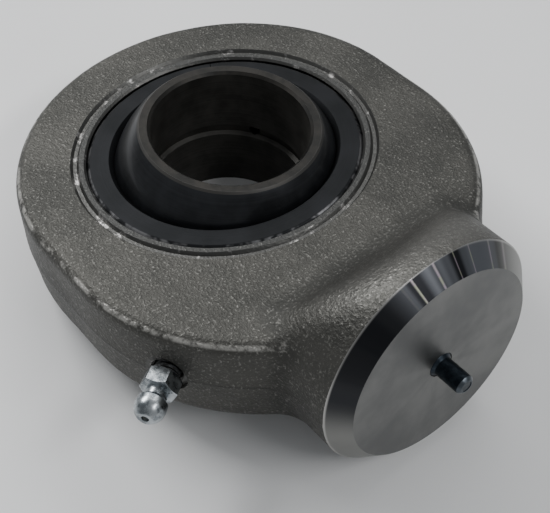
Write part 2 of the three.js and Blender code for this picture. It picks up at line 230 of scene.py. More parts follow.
world = bpy.data.worlds.new("studio")
bpy.context.scene.world = world
world.use_nodes = True
sky = world.node_tree.nodes["Background"].inputs
sky["Color"].default_value = (0.80, 0.82, 0.84, 1)
sky["Strength"].default_value = 0.42

# Each lamp: name, place, aim, width, length, power in watts
lamps = [
    ("lamp_long", (-0.25, 0.55, 0.75), (0.02, 0, 0), 0.9, 0.16, 2.4),
    ("lamp_side", (0.65, 0.25, 0.60), (0.02, 0, 0), 0.5, 0.14, 2.6),
    ("lamp_left", (-0.56, -0.12, 0.68), (0.03, 0, 0), 0.5, 0.2, 6.6),
]
for name, place, aim, width, length, power in lamps:
    lamp_data = bpy.data.lights.new(name, "AREA")
    lamp_data.shape = "RECTANGLE"
    lamp_data.size = width
    lamp_data.size_y = length
    lamp_data.energy = power
    lamp = bpy.data.objects.new(name, lamp_data)
    lamp.location = place
    lamp.rotation_euler = (Vector(aim) - Vector(place)).to_track_quat("-Z", "Y").to_euler()
    bpy.context.scene.collection.objects.link(lamp)


# ---------------------------------------------------------------- rod eye
# One forging of weldable steel, shot-blasted. Only the bearing seat, the weld face with its bevel, the spot
# face and holes for the nipple and pin, and the rolled stake grooves are made afterwards, with tool marks.

# The pieces' sizes are in millimetres from here on. In the looks, places, grain and relief stay in metres.
# mm turns a size into metres, and in_mm turns a place in a node tree into millimetres.
mm = 0.001
in_mm = 1000
head_stretch = 14.0
edge_radius = 2.6
draft = math.tan(math.radians(3))
ramp_foot = 45.7
ramp_lift = math.sin(math.radians(45))
crest_blend = 5.0
valley_blend = 3.6
shank_start = 20.0
ridge_width = 9.0
valley_width = 4.2
flash_width = 0.8
parting_width = 0.45
skin_level = 10.0
skin_margin = 2
seat_radius = 31.0
lip_overhang = 0.3
lip_half = 0.5
lip_outer = 32.4
groove_outer = 34.0
groove_depth = 0.7
edge_break = 0.16


def axes_of(place):
    """A place's x, y and z."""
    node = place.make("ShaderNodeSeparateXYZ", {"Vector": place}).socket.node
    return [Signal(place.tree, node.outputs[axis]) for axis in "XYZ"]


def distance(across, along):
    """How far a point is from an axis, by its two distances square to it."""
    return (across * across + along * along) ** 0.5


def forging_rule(place, head, half, shank):
    """Signed distances in millimetres of the drafted head and of the ramped shank, the head's edge, and the
    ridge where the ramp turns into the round of the shank."""
    x, y, z = [part * in_mm for part in axes_of(place)]
    z = abs(z)
    along = x - x.most(0.0).least(head_stretch)
    side = distance(along, y) - head + z * draft + edge_radius
    top = z - half + edge_radius
    corner = (side.most(0.0) ** 2 + top.most(0.0) ** 2) ** 0.5
    head_skin = side.most(top).least(0.0) + corner - edge_radius
    barrel = distance(y, z) - shank
    ramp = (z - half - x + ramp_foot) * ramp_lift
    crest = (crest_blend - abs(barrel - ramp)).most(0.0) / crest_blend
    shank_skin = barrel.most(ramp) + crest * crest * (crest_blend / 4)
    ridge = (1 - abs(barrel - ramp) / ridge_width).most(0.0)
    return head_skin, shank_skin.most(shank_start - x), side.least(top), ridge


def parting_line(place, width):
    """1 where the two dies met, at mid-height, falling to 0 within a width in millimetres."""
    height = axes_of(place)[2]
    return (1 - abs(height / mm) / width).most(0.0)


def open_tree(name, sizes):
    """A new Geometry Nodes tree that takes named sizes and a finish, given with its inputs by name."""
    tree = bpy.data.node_groups.new(name, "GeometryNodeTree")
    for key, size in sizes.items():
        socket = tree.interface.new_socket(name=key, in_out="INPUT", socket_type="NodeSocketFloat")
        socket.default_value = size
    tree.interface.new_socket(name="Finish", in_out="INPUT", socket_type="NodeSocketMaterial")
    tree.interface.new_socket(name="Geometry", in_out="OUTPUT", socket_type="NodeSocketGeometry")
    given = tree.nodes.new("NodeGroupInput")
    return tree, {socket.name: Signal(tree, socket) for socket in given.outputs}


def close_tree(tree, geometry, finish):
    """Ends a tree: its geometry is made real and given its finish."""
    whole = geometry.make("GeometryNodeRealizeInstances", {"Geometry": geometry})
    painted = geometry.make("GeometryNodeSetMaterial", {"Geometry": whole, "Material": finish})
    out = tree.nodes.new("NodeGroupOutput")
    tree.links.new(painted.socket, out.inputs["Geometry"])
    return tree


def forging_tree():
    """Meshes the skin of the head blended into the shank, slightly uneven as a die leaves it."""
    tree, size = open_tree("forging", {
        "Head radius": head_radius / mm, "Half width": head_half / mm, "Shank radius": shank_radius / mm,
        "Unevenness": 0.12, "Flash": 0.1, "Cell": 0.62})
    place = Signal(tree).make("GeometryNodeInputPosition")
    rule = forging_rule(place, size["Head radius"], size["Half width"], size["Shank radius"])
    head_skin, shank_skin = rule[:2]
    blend = (valley_blend - abs(head_skin - shank_skin)).most(0.0) / valley_blend
    skin = head_skin.least(shank_skin) - blend * blend * (valley_blend / 4)
    skin = skin - parting_line(place, flash_width) * size["Flash"]
    skin = skin + (grain(place, 0.014, 2.0) - 0.5) * size["Unevenness"] * 2
    margin = skin_margin * mm
    low = (-head_radius - margin, -head_radius - margin, -shank_radius - margin)
    high = (weld_face + 2 * margin, head_radius + margin, shank_radius + margin)
    cube = {"Density": skin_level - skin, "Background": 0.0, "Min": low, "Max": high}
    for axis, a, b in zip("XYZ", low, high):
        cube[f"Resolution {axis}"] = (b - a) / mm / size["Cell"]
    volume = place.make("GeometryNodeVolumeCube", cube)
    skinned = place.make("GeometryNodeVolumeToMesh", {"Volume": volume, "Threshold": skin_level})
    return close_tree(tree, skinned, size["Finish"])


def turned(name, profile, sides=192, axis="Z"):
    """A mesh turned from (radius, height) points in millimetres, closed on its axis or on itself."""
    mesh = bpy.data.meshes.new(name)
    shape = bmesh.new()
    closed = profile[0][0] > 0
    rows = []
    for radius, height in profile:
        if radius == 0:
            rows.append([shape.verts.new((0, 0, height * mm))])
            continue
        row = []
        for k in range(sides):
            angle = 2 * math.pi * k / sides
            x = radius * mm * math.cos(angle)
            y = radius * mm * math.sin(angle)
            row.append(shape.verts.new((x, y, height * mm)))
        rows.append(row)
    pairs = list(zip(rows, rows[1:]))
    if closed:
        pairs.append((rows[-1], rows[0]))
    for low, high in pairs:
        for k in range(sides):
            j = (k + 1) % sides
            corners = [low[k % len(low)], low[j % len(low)], high[j % len(high)], high[k % len(high)]]
            shape.faces.new(list(dict.fromkeys(corners)))
    bmesh.ops.recalc_face_normals(shape, faces=shape.faces[:])
    if axis == "X":
        shape.transform(Matrix.Rotation(math.pi / 2, 4, "Y"))
    shape.to_mesh(mesh)
    shape.free()
    return mesh


def cut(piece, tool_mesh, operation, finish=None):
    """Cuts a piece with a tool's mesh for good. The new faces take the tool's finish."""
    tool_mesh.materials.append(finish)
    tool = link("tool", tool_mesh)
    modifier = piece.modifiers.new("cut", "BOOLEAN")
    modifier.operation = operation
    modifier.solver = "MANIFOLD"
    modifier.material_mode = "TRANSFER"
    modifier.object = tool
    settle(piece)
    bpy.data.objects.remove(tool)


def settle(piece):
    """Makes a piece's live modifiers its plain mesh."""
    graph = bpy.context.evaluated_depsgraph_get()
    mesh = bpy.data.meshes.new_from_object(piece.evaluated_get(graph), depsgraph=graph)
    piece.modifiers.clear()
    piece.data = mesh


def grown(name, tree, finish):
    """Runs a node tree once, with a finish, and gives its result as a plain piece."""
    piece = link(name, bpy.data.meshes.new(name))
    modifier = piece.modifiers.new(name, "NODES")
    modifier.node_group = tree
    for item in tree.interface.items_tree:
        if item.name == "Finish":
            modifier[item.identifier] = finish
    settle(piece)
    materials = piece.data.materials
    for k in reversed(range(len(materials))):
        if materials[k] is None:
            materials.pop(index=k)
    return piece


def paint(piece, finish, chosen):
    """Gives a finish to the faces that a test chooses."""
    piece.data.materials.append(finish)
    for face in piece.data.polygons:
        if chosen(face):
            face.material_index = len(piece.data.materials) - 1


sliver = 0.001 * mm


def ease(piece, angle=32):
    """Merges the slivers that cutting leaves, then shades smooth but for edges past an angle in degrees."""
    mesh = piece.data
    shape = bmesh.new()
    shape.from_mesh(mesh)
    bmesh.ops.remove_doubles(shape, verts=shape.verts[:], dist=sliver)
    bmesh.ops.dissolve_degenerate(shape, edges=shape.edges[:], dist=sliver)
    for face in shape.faces:
        face.smooth = True
    limit = math.radians(angle)
    for edge in shape.edges:
        edge.smooth = len(edge.link_faces) == 2 and edge.calc_face_angle(0) < limit
    shape.to_mesh(mesh)
    shape.free()


def staked_band(place):
    """1 on the ring of metal that the staking roller leaned over the bearing, 0 beyond it."""
    x, y, _ = axes_of(place)
    radius = distance(x / mm, y / mm)
    return 1 - radius.fade(lip_outer - 0.1, lip_outer + 0.3)


def forged_look(place):
    """Shot-blasted scale: dull brown grey with fine bright pits, painted shade in the valley between head and
    shank, a worn rim painted brighter as a highlight, and a rubbed ridge with a painted highlight.
    """
    sizes = (head_radius / mm, head_half / mm, shank_radius / mm)
    head_skin, shank_skin, edge, ridge = forging_rule(place, *sizes)
    valley = (1 - abs(head_skin - shank_skin) / valley_width).most(0.0).fade(0.15, 0.9)
    pits = grain(place, 0.0011, 3.0, 0.62)
    fine = grain(place, 0.00050, 2.0, 0.6)
    clouds = grain(place, 0.018, 3.0, 0.55)
    on_head = (shank_skin - head_skin).fade(-1.2, 1.2)
    # Worn bright along the head's edge rounding, and painted brighter there as the highlight that the rounding
    # catches.
    worn = edge.fade(1.2, 1.75) * on_head * grain(place, 0.0045, 4.0, 0.75).fade(0.40, 0.60)
    off_middle = abs(axes_of(place)[1])
    # On the ridge where the ramp meets the shank: rubbed metal, with a painted highlight laid over it.
    rubbed = ridge.fade(0.05, 0.95) * (1 - on_head) * (1 - off_middle.fade(0.008, 0.026))
    rubbed = rubbed * (0.62 + 0.38 * pits.fade(0.36, 0.62))
    sparkle = fine.fade(0.56, 0.70) * pits.fade(0.40, 0.62)
    lip = staked_band(place)
    tone = blended((0.050, 0.050, 0.046), (0.072, 0.071, 0.065), clouds.fade(0.35, 0.65))
    # Painted shade: the valley between head and shank is darkened where shade falls.
    tone = blended(tone, (0.040, 0.041, 0.039), valley * 0.35)
    tone = blended(tone, (0.20, 0.197, 0.183), fine.fade(0.50, 0.68) * pits.fade(0.36, 0.60) * 0.42)
    tone = blended(tone, (0.062, 0.063, 0.062), lip * 0.8)
    seam = parting_line(place, parting_width) * clouds.fade(0.35, 0.6)
    tone = blended(tone, (0.026, 0.026, 0.024), seam * 0.7)
    # The worn rim and the rubbed ridge are lightened here: part wear, part painted highlight.
    tone = blended(tone, (0.50, 0.49, 0.46), (sparkle * 0.2 + worn * 0.75 + rubbed * 0.15).least(1.0))
    rough = 0.60 - 0.14 * fine - 0.16 * worn - 0.10 * rubbed + 0.1 * valley
    height = pits * 0.62 + fine * 0.38
    return {"Base Color": tone, "Roughness": rough, "Normal": relief(height, 0.00042)}


forged_skin = finish_of("forged_skin", forged_look, {"Metallic": 0.82})


def turning_marks(radius, pitch, place):
    """Fine rings round an axis, uneven from ring to ring."""
    spread = place.make("ShaderNodeCombineXYZ", {"X": radius})
    return grain(spread, pitch, 3.0, 0.6)


# Radius in metres of the circle that rays are read on
ray_circle = 0.01


def radius_about_x(place):
    """The radius about the shank's axis, and the way there: across along Y and up along Z."""
    _, y, z = axes_of(place)
    radius = distance(y, z)
    return radius, y / radius, z / radius


def rays(across, up):
    """A place that only changes with the angle about the shank, so that grain on it runs out as rays."""
    return across.make("ShaderNodeCombineXYZ", {"X": across * ray_circle, "Y": up * ray_circle})


def weld_face_look(place):
    """Faced on a lathe: fine rings, a faint fan of light, smears, and a dull handling film."""
    radius, across, up = radius_about_x(place)
    rings = turning_marks(radius, 0.00022, place)
    smears = grain(place, 0.012, 3.0, 0.6)
    fan = grain(rays(across, up), 0.006, 2.0, 0.5)
    scuffs = grain(place, 0.0016, 4.0, 0.7, (1, 1, 0.25)).fade(0.62, 0.72)
    light = (smears * 0.65 + fan * 0.35).fade(0.35, 0.65)
    tone = blended((0.125, 0.127, 0.126), (0.205, 0.206, 0.20), light)
    tone = blended(tone, (0.14, 0.145, 0.15), scuffs * 0.45)
    rough = 0.36 + 0.12 * smears + 0.05 * rings
    return {"Base Color": tone, "Roughness": rough, "Normal": relief(rings, 0.000003)}


def bevel_look(place):
    """Turned bevel: blued dark above, chatter streaks round its crest painted bright as glints, bare metal
    towards +Y and below, and a painted highlight along its outer edge."""
    radius, across, up = radius_about_x(place)
    turn = rays(across, up)
    bands = grain(turn, 0.0030, 2.0, 0.5)
    crest = across.fade(-0.45, -0.20) * up.fade(0.20, 0.50)
    streak = (1 - abs(grain(turn, 0.0034, 1.0) - 0.5) / 0.016).most(0.0) * crest
    tint = blended((0.62, 0.52, 0.60), (0.58, 0.60, 0.46), grain(place, 0.0018, 2.0).fade(0.40, 0.60))
    # Painted highlight along the bevel's outer edge.
    edge_glint = radius.fade(shank_radius - 0.0004, shank_radius - 0.0001)
    blued = up.fade(-0.20, 0.30) * (1 - across.fade(0.50, 0.90))
    dark = blended((0.021, 0.022, 0.025), (0.034, 0.035, 0.038), bands.fade(0.40, 0.66))
    # Painted glints: the chatter bands and streaks round the crest are made brighter here.
    dark = blended(dark, (0.15, 0.158, 0.175), crest * bands.fade(0.42, 0.58))
    dark = blended(dark, tint, streak * 0.45)
    tone = blended((0.22, 0.22, 0.21), dark, blued)
    tone = blended(tone, (0.55, 0.54, 0.52), edge_glint * 0.55)
    rough = 0.40 + 0.08 * bands - 0.14 * blued
    rings = turning_marks(radius, 0.00025, place)
    return {"Base Color": tone, "Roughness": rough, "Normal": relief(rings, 0.000003)}


def stake_look(place):
    """Metal squeezed by the staking roller: scuffed bright in patches."""
    scuffs = grain(place, 0.0035, 4.0, 0.65)
    fine = grain(place, 0.0006, 2.0)
    tone = blended((0.075, 0.075, 0.072), (0.42, 0.41, 0.40), scuffs.fade(0.56, 0.72))
    rough = 0.5 - 0.22 * scuffs
    return {"Base Color": tone, "Roughness": rough, "Normal": relief(fine, 0.00008)}


weld_face_steel = finish_of("turned_weld_face", weld_face_look, {"Metallic": 1.0})
bevel_steel = finish_of("turned_bevel", bevel_look, {"Metallic": 1.0})
stake_steel = finish_of("staked_edge", stake_look, {"Metallic": 0.95})
spot_steel = finish_of("spot_faced_steel", stake_look, {"Metallic": 0.9})

eye = grown("forged_eye", forging_tree(), forged_skin)

# Turned weld end: a flat face and its bevel, which runs on out past the skin
face_mm = weld_face / mm
shank_mm = shank_radius / mm
bevel_mm = bevel_depth / mm
face_radius = shank_mm - bevel_mm
bevel_run = 34.0
tool_foot = -80
on_face = 0.01
tool_radius = face_radius + bevel_run
weld_end = [(0, tool_foot), (tool_radius, tool_foot), (tool_radius, face_mm - bevel_run),
            (face_radius, face_mm), (0, face_mm)]
cut(eye, turned("bevel_tool", weld_end, sides=256, axis="X"), "INTERSECT", bevel_steel)
paint(eye, weld_face_steel, lambda face: face.center.x > weld_face - on_face * mm)


def mirrored(profile):
    """A profile's half below the mid-plane, run the other way so that the two halves join."""
    return [(radius, -height) for radius, height in reversed(profile)]


# Bored seat, closed in at both mouths by the leaning lips, whose own edges are broken
half_mm = head_half / mm
lip_bore = seat_radius - lip_overhang
overrun = 3
beyond = half_mm + overrun
upper_seat = [(seat_radius, half_mm - 2 * lip_half), (lip_bore, half_mm - lip_half),
              (seat_radius, half_mm - edge_break), (seat_radius + 2 * edge_break, half_mm + edge_break),
              (seat_radius + 2 * edge_break, beyond), (0, beyond)]
cut(eye, turned("seat_tool", mirrored(upper_seat) + upper_seat), "DIFFERENCE", stake_steel)

# Rolled staking grooves, one on each face
groove_floor = half_mm - groove_depth
groove_lean = 0.4
groove = [(lip_outer + groove_lean, groove_floor), (groove_outer - groove_lean, groove_floor),
          (groove_outer, half_mm - edge_break), (groove_outer + 2 * edge_break, half_mm + edge_break),
          (groove_outer + 2 * edge_break, beyond), (lip_outer - 2 * edge_break, beyond),
          (lip_outer - 2 * edge_break, half_mm + edge_break), (lip_outer, half_mm - edge_break)]
cut(eye, turned("upper_groove_tool", groove), "DIFFERENCE", stake_steel)
lower_groove = [(radius, -height) for radius, height in groove]
cut(eye, turned("lower_groove_tool", lower_groove), "DIFFERENCE", stake_steel)

# Spot face, tapped hole and grease drilling for the nipple
travel = next(joint for joint in frame["joints"] if joint["name"] == "check_ball_travel")
nipple_axis = -Vector(travel["axis"]).normalized()
nipple_offset = 7
nipple_aim = Vector((nipple_offset, 0, 0)) * mm
tangent = Vector((-nipple_axis.y, nipple_axis.x, 0))
nipple_turn = Matrix((Vector((0, 0, -1)), tangent, nipple_axis)).transposed().to_4x4()
body_points = frame["nodes"]["nipple_body"].data.vertices
nipple_tip = max((point.co - nipple_aim).dot(nipple_axis) for point in body_points) / mm
hex_height = 3.6
neck_length = 1.6
nipple_head_length = 5.0
stand_off = 1.6
nipple_seat = nipple_tip - nipple_head_length - neck_length - hex_height
spot_face = nipple_seat - stand_off
tapped_depth = 9.0
tapped_radius = 3.0
drill_radius = 1.5
spot_radius = 4.7
spot_clearance = 8
mouth_break = 0.5
drill_overrun = 10
drill_foot = seat_radius - drill_overrun
hole_sides = 96
hole = [(0, drill_foot), (drill_radius, drill_foot),
        (drill_radius, spot_face - tapped_depth - tapped_radius + drill_radius),
        (tapped_radius, spot_face - tapped_depth), (tapped_radius, spot_face - mouth_break),
        (tapped_radius + mouth_break, spot_face), (spot_radius, spot_face),
        (spot_radius, spot_face + spot_clearance), (0, spot_face + spot_clearance)]
hole_tool = turned("nipple_hole_tool", hole, sides=hole_sides)
hole_tool.transform(Matrix.Translation(nipple_aim) @ nipple_turn)
cut(eye, hole_tool, "DIFFERENCE", spot_steel)

# Hole for the centring pin, with a sunk mouth for the pin's flare
pin_gap = 0.15
pin_radius = 2.15
pin_flare_radius = 2.75
pin_flare = 0.5
pin_depth = 11.0
pin_clearance = 2
pin_hole = [(0, face_mm - pin_depth - pin_gap), (pin_radius + pin_gap, face_mm - pin_depth - pin_gap),
            (pin_radius + pin_gap, face_mm - pin_flare - pin_gap),
            (pin_flare_radius + pin_gap, face_mm - pin_flare - pin_gap),
            (pin_flare_radius + pin_gap, face_mm + pin_clearance), (0, face_mm + pin_clearance)]
cut(eye, turned("pin_hole_tool", pin_hole, sides=hole_sides, axis="X"), "DIFFERENCE", spot_steel)

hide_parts("rod_eye")
ease(eye)
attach(eye, "eye")


# ---------------------------------------------------------------- bearing outer ring
# Bearing steel, turned and phosphated black, hollow-ground inside. It is cracked across once so that it
# springs open over the inner ring, and the staked lips of the eye hold it by its outer chamfers.

ring_outer = ring_high.x / mm
ring_half = ring_high.z / mm
ring_chamfer = 0.9
ring_rim = ring_outer - ring_chamfer
hollow_radius = 26.6
mouth_flare = 1.4
mouth_depth = 1.3
ring_groove_half = 2.0
ring_groove_depth = 0.9
ring_break = 0.1


def arc(radius, start, end, steps, height=0.0):
    """Points of an arc about the axis in a turned profile, angles in degrees up from the mid-plane."""
    angles = [math.radians(start + (end - start) * k / steps) for k in range(steps + 1)]
    return [(radius * math.cos(angle), height + radius * math.sin(angle)) for angle in angles]


def ring_look(place):
    """Satin black phosphate, turned in fine rings, rubbed along the outer chamfer's edge and painted bright there
    as a glint.
    """
    x, y, _ = axes_of(place)
    radius = distance(x, y)
    rings = turning_marks(radius, 0.0003, place)
    mist = grain(place, 0.009, 3.0)
    # Rubbed along the outer chamfer's edge, and painted bright there as the glint that the edge catches.
    rubbed = radius.fade(ring_rim * mm - 0.00015, ring_rim * mm + 0.00015)
    rubbed = rubbed * grain(place, 0.006, 3.0, 0.7).fade(0.44, 0.60)
    cloud = (mist * 0.6 + rings * 0.4).fade(0.35, 0.65)
    tone = blended((0.011, 0.012, 0.013), (0.019, 0.020, 0.022), cloud)
    tone = blended(tone, (0.34, 0.34, 0.35), rubbed * 0.5)
    rough = 0.48 + 0.1 * mist - 0.16 * rubbed
    height = rings * 0.6 + grain(place, 0.0003, 2.0) * 0.4
    return {"Base Color": tone, "Roughness": rough, "Normal": relief(height, 0.00001)}


mouth_radius = math.sqrt(hollow_radius ** 2 - ring_half ** 2) + mouth_flare
mouth_angle = math.degrees(math.asin((ring_half - mouth_depth) / hollow_radius))
hollow_groove_angle = math.degrees(math.asin(ring_groove_half / hollow_radius))
groove_land = ring_groove_half - ring_groove_depth
upper_ring = [(ring_outer - ring_groove_depth, groove_land), (ring_outer, ring_groove_half),
              (ring_outer, ring_half - ring_chamfer), (ring_rim + ring_break, ring_half - ring_break),
              (ring_rim - ring_break, ring_half), (mouth_radius + ring_break, ring_half),
              (mouth_radius, ring_half - 0.8 * ring_break),
              *arc(hollow_radius, mouth_angle, hollow_groove_angle, 24),
              (hollow_radius + ring_groove_depth, groove_land)]
ring_profile = upper_ring + mirrored(upper_ring)
outer_ring = link("bearing_outer_ring", turned("bearing_outer_ring", ring_profile))
ring_black = finish_of("ring_black", ring_look, {"Metallic": 0.9})
outer_ring.data.materials.append(ring_black)

split_width = 0.15
split_azimuth = 150
split_turn = Matrix.Rotation(math.radians(split_azimuth), 4, "Z")
within_ring = 20
past_ring = 40


def block(name, low, high, turn):
    """A box between two corners in millimetres, turned about the origin, to cut with."""
    shape = bmesh.new()
    bmesh.ops.create_cube(shape, size=1)
    for vert in shape.verts:
        vert.co = [a + (b - a) * (c + 0.5) for a, b, c in zip(low, high, vert.co)]
    shape.transform(turn @ Matrix.Scale(mm, 4))
    mesh = bpy.data.meshes.new(name)
    shape.to_mesh(mesh)
    shape.free()
    return mesh


def drill(piece, radius, start, finish):
    """Drills a ring through on both sides, on the nipple's line, from a radius outwards."""
    profile = [(0, start), (radius, start), (radius, past_ring), (0, past_ring)]
    for side in (0, math.pi):
        tool = turned("drill_tool", profile, sides=48)
        tool.transform(Matrix.Rotation(side, 4, "Z") @ nipple_turn)
        cut(piece, tool, "DIFFERENCE", finish)


split_low = (within_ring, -split_width / 2, -within_ring)
split_high = (past_ring, split_width / 2, within_ring)
cut(outer_ring, block("split_tool", split_low, split_high, split_turn), "DIFFERENCE", ring_black)
ring_hole_radius = 1.5
drill(outer_ring, ring_hole_radius, within_ring, ring_black)
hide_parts("outer_ring")
ease(outer_ring, angle=20)
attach(outer_ring, "eye")


# ---------------------------------------------------------------- bearing inner ring
# A truncated ball of hard bearing steel with a bore, ground and blackened, so it is glossier than the outer
# ring. Its end faces are left brownish. A groove round the ball and one round the bore carry the grease.

ball_radius = 26.5
bore_radius = 17.5
inner_half = 17.5
end_chamfer = 0.45
bore_chamfer = 0.6
inner_groove_half = 1.6
inner_groove_depth = 1.0
end_radius = math.sqrt(ball_radius ** 2 - (inner_half - end_chamfer) ** 2)
end_angle = math.degrees(math.asin((inner_half - end_chamfer) / ball_radius))
ball_groove_angle = math.degrees(math.asin(inner_groove_half / ball_radius))
floor_land = inner_groove_half - inner_groove_depth / 2
upper_mount = next(mount for mount in frame["record"]["mounts"] if mount["name"] == "inner_ring_upper_face")
lean = Vector((0, 0, 1)).rotation_difference(Vector(upper_mount["axis"]).normalized())


def about_ring(place):
    """The place as it would be with the ring upright."""
    upright = lean.inverted().to_euler()
    return place.make("ShaderNodeMapping", {"Vector": place, "Rotation": upright})


def ball_look(place):
    """Ground and blackened ball: a dark gloss with handling film and faint rub lines."""
    rubs = turning_marks(axes_of(about_ring(place))[2], 0.0009, place)
    film = grain(place, 0.008, 3.0, 0.6)
    haze = (film * 0.6 + rubs * 0.4).fade(0.35, 0.65)
    tone = blended((0.012, 0.013, 0.015), (0.028, 0.030, 0.034), haze)
    return {"Base Color": tone, "Roughness": 0.24 + 0.12 * film, "Normal": relief(rubs, 0.000004)}


def end_face_look(place):
    """Brownish oxide over turning rings, rubbed lighter at the rims."""
    x, y, _ = axes_of(about_ring(place))
    radius = distance(x, y)
    rings = turning_marks(radius, 0.0002, place)
    oxide = grain(place, 0.004, 4.0, 0.6)
    flat_radius = end_radius - end_chamfer
    rim = radius.fade((flat_radius - 0.15) * mm, (flat_radius + 0.05) * mm)
    tone = blended((0.013, 0.013, 0.012), (0.028, 0.026, 0.023), oxide.fade(0.35, 0.65))
    tone = blended(tone, (0.10, 0.098, 0.094), rim * 0.45)
    return {"Base Color": tone, "Roughness": 0.40 + 0.12 * oxide, "Normal": relief(rings, 0.00001)}


def bore_look(place):
    """Honed bore with a thin brown oxide and a film of oil."""
    hone = turning_marks(axes_of(about_ring(place))[2], 0.0005, place)
    oil = grain(place, 0.006, 3.0, 0.6)
    stain = (oil * 0.6 + hone * 0.4).fade(0.35, 0.65)
    tone = blended((0.036, 0.035, 0.032), (0.074, 0.071, 0.065), stain)
    return {"Base Color": tone, "Roughness": 0.38 + 0.12 * oil, "Normal": relief(hone, 0.000006)}


upper_inner = [(bore_radius + inner_groove_depth, floor_land), (bore_radius, inner_groove_half),
               (bore_radius, inner_half - bore_chamfer), (bore_radius + bore_chamfer, inner_half),
               (end_radius - end_chamfer, inner_half), *arc(ball_radius, end_angle, ball_groove_angle, 40),
               (ball_radius - inner_groove_depth, floor_land)]
inner_profile = upper_inner + mirrored(upper_inner)
inner_ring = link("bearing_inner_ring", turned("bearing_inner_ring", inner_profile, sides=224))
ball_black = finish_of("ball_black", ball_look, {"Metallic": 0.75, "Coat Weight": 0.15})
end_brown = finish_of("end_brown", end_face_look, {"Metallic": 0.7})
inner_ring.data.materials.append(ball_black)
honed_bore = finish_of("honed_bore", bore_look, {"Metallic": 0.6})


def on_end(face):
    """Whether a face is on the flat ends or their chamfers."""
    radius = math.hypot(face.center.x, face.center.y)
    chamfer_foot = inner_half - bore_chamfer + 0.02
    return abs(face.center.z) > chamfer_foot * mm and radius < end_radius * mm


def in_bore(face):
    """Whether a face is on the bore's wall or in its groove."""
    radius = math.hypot(face.center.x, face.center.y)
    reach = bore_radius + inner_groove_depth + 0.1
    return radius < reach * mm and abs(face.center.z) < (inner_half - bore_chamfer) * mm


paint(inner_ring, end_brown, on_end)
paint(inner_ring, honed_bore, in_bore)
inner_hole_radius = 1.25
within_bore = 10
drill(inner_ring, inner_hole_radius, within_bore, ball_black)
inner_ring.data.transform(lean.to_matrix().to_4x4())
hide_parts("inner_ring")
ease(inner_ring, angle=20)
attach(inner_ring, "inner_ring")


# It is screwed into the spot-faced hole in the eye's side.

def zinc_look(place):
    """Bright zinc with a cloudy passivation, and grime where the grease has dried."""
    cloud = grain(place, 0.0016, 3.0, 0.6)
    grime = grain(place, 0.0009, 4.0, 0.7).fade(0.58, 0.70)
    tone = blended((0.18, 0.20, 0.215), (0.46, 0.49, 0.51), cloud.fade(0.35, 0.65))
    tone = blended(tone, (0.10, 0.10, 0.095), grime * 0.55)
    rough = 0.20 + 0.16 * cloud + 0.2 * grime
    return {"Base Color": tone, "Roughness": rough, "Normal": relief(cloud, 0.00003)}


def thread_look(place):
    """Thread under the hexagon, painted dark as the shade in its recess, and blotched with dried grease."""
    grease = grain(place, 0.0007, 3.0, 0.6)
    tone = blended((0.035, 0.035, 0.034), (0.12, 0.125, 0.13), grease.fade(0.40, 0.70))
    return {"Base Color": tone, "Roughness": 0.42 + 0.2 * grease, "Normal": relief(grease, 0.00003)}


def soften(piece, width):
    """Breaks a piece's sharp edges by a width in millimetres."""
    modifier = piece.modifiers.new("soften", "BEVEL")
    modifier.width = width * mm
    modifier.segments = 2
    modifier.limit_method = "ANGLE"
    settle(piece)


def screw_thread(mesh, radius, pitch, depth, low, high):
    """Sinks a helical thread into a turned mesh's wall between two heights, all in millimetres."""
    on_wall = 0.01
    for vert in mesh.vertices:
        out = math.hypot(vert.co.x, vert.co.y) / mm
        height = vert.co.z / mm
        if abs(out - radius) < on_wall and low < height < high:
            phase = (height / pitch - math.atan2(vert.co.y, vert.co.x) / (2 * math.pi)) % 1
            share = 1 - depth * (1 - abs(2 * phase - 1)) / radius
            vert.co.x *= share
            vert.co.y *= share


across_flats = 7.0
corner_radius = across_flats / math.sqrt(3)
corner_lean = math.radians(30)
corner_drop = (corner_radius - across_flats / 2) * math.tan(corner_lean)
hexagon_turn = math.radians(30)
barrel = [(0, 0), (across_flats / 2, 0), (corner_radius, corner_drop),
          (corner_radius, hex_height - corner_drop), (across_flats / 2, hex_height), (0, hex_height)]
prism = [(0, 0), (corner_radius, 0), (corner_radius, hex_height), (0, hex_height)]
zinc = finish_of("zinc_plate", zinc_look, {"Metallic": 1.0})
hexagon_mesh = turned("hexagon", prism, sides=6)
hexagon_mesh.transform(Matrix.Rotation(hexagon_turn, 4, "Z"))
hexagon_mesh.materials.append(zinc)
hexagon = link("hexagon", hexagon_mesh)
cut(hexagon, turned("barrel_tool", barrel, sides=hole_sides), "INTERSECT", zinc)
soften(hexagon, width=0.08)

stem_radius = 2.85
stem_length = 7.0
crimp = 0.7
thread_pitch = 1.0
thread_depth = 0.35
thread_step = 0.1
thread_margin = 0.05
neck_radius = 2.3
head_ball_radius = 3.25
head_break = 0.08
tip_radius = 1.7
tip_break = 0.1
channel_radius = 1.4
channel_overrun = 2
mouth_bore = 0.8
mouth_length = 0.8
neck_top = hex_height + neck_length
tip_height = neck_top + nipple_head_length
crown_angle = math.degrees(math.acos(tip_radius / head_ball_radius))
crown_centre = tip_height - head_ball_radius * math.sin(math.radians(crown_angle))
thread_rows = [(stem_radius, -stem_length + crimp + thread_step * k)
               for k in range(round((stem_length - crimp) / thread_step) + 1)]
stem = [(0, -stem_length), (stem_radius - crimp, -stem_length), *thread_rows,
        (neck_radius, hex_height / 2), (neck_radius, neck_top),
        (head_ball_radius - head_break, neck_top + head_ball_radius - neck_radius - head_break / 2),
        *arc(head_ball_radius, 0, crown_angle, 14, crown_centre), (tip_radius - tip_break, tip_height),
        (0, tip_height)]
stem_mesh = turned("nipple_stem", stem, sides=96)
thread_foot = -stem_length + crimp + thread_margin
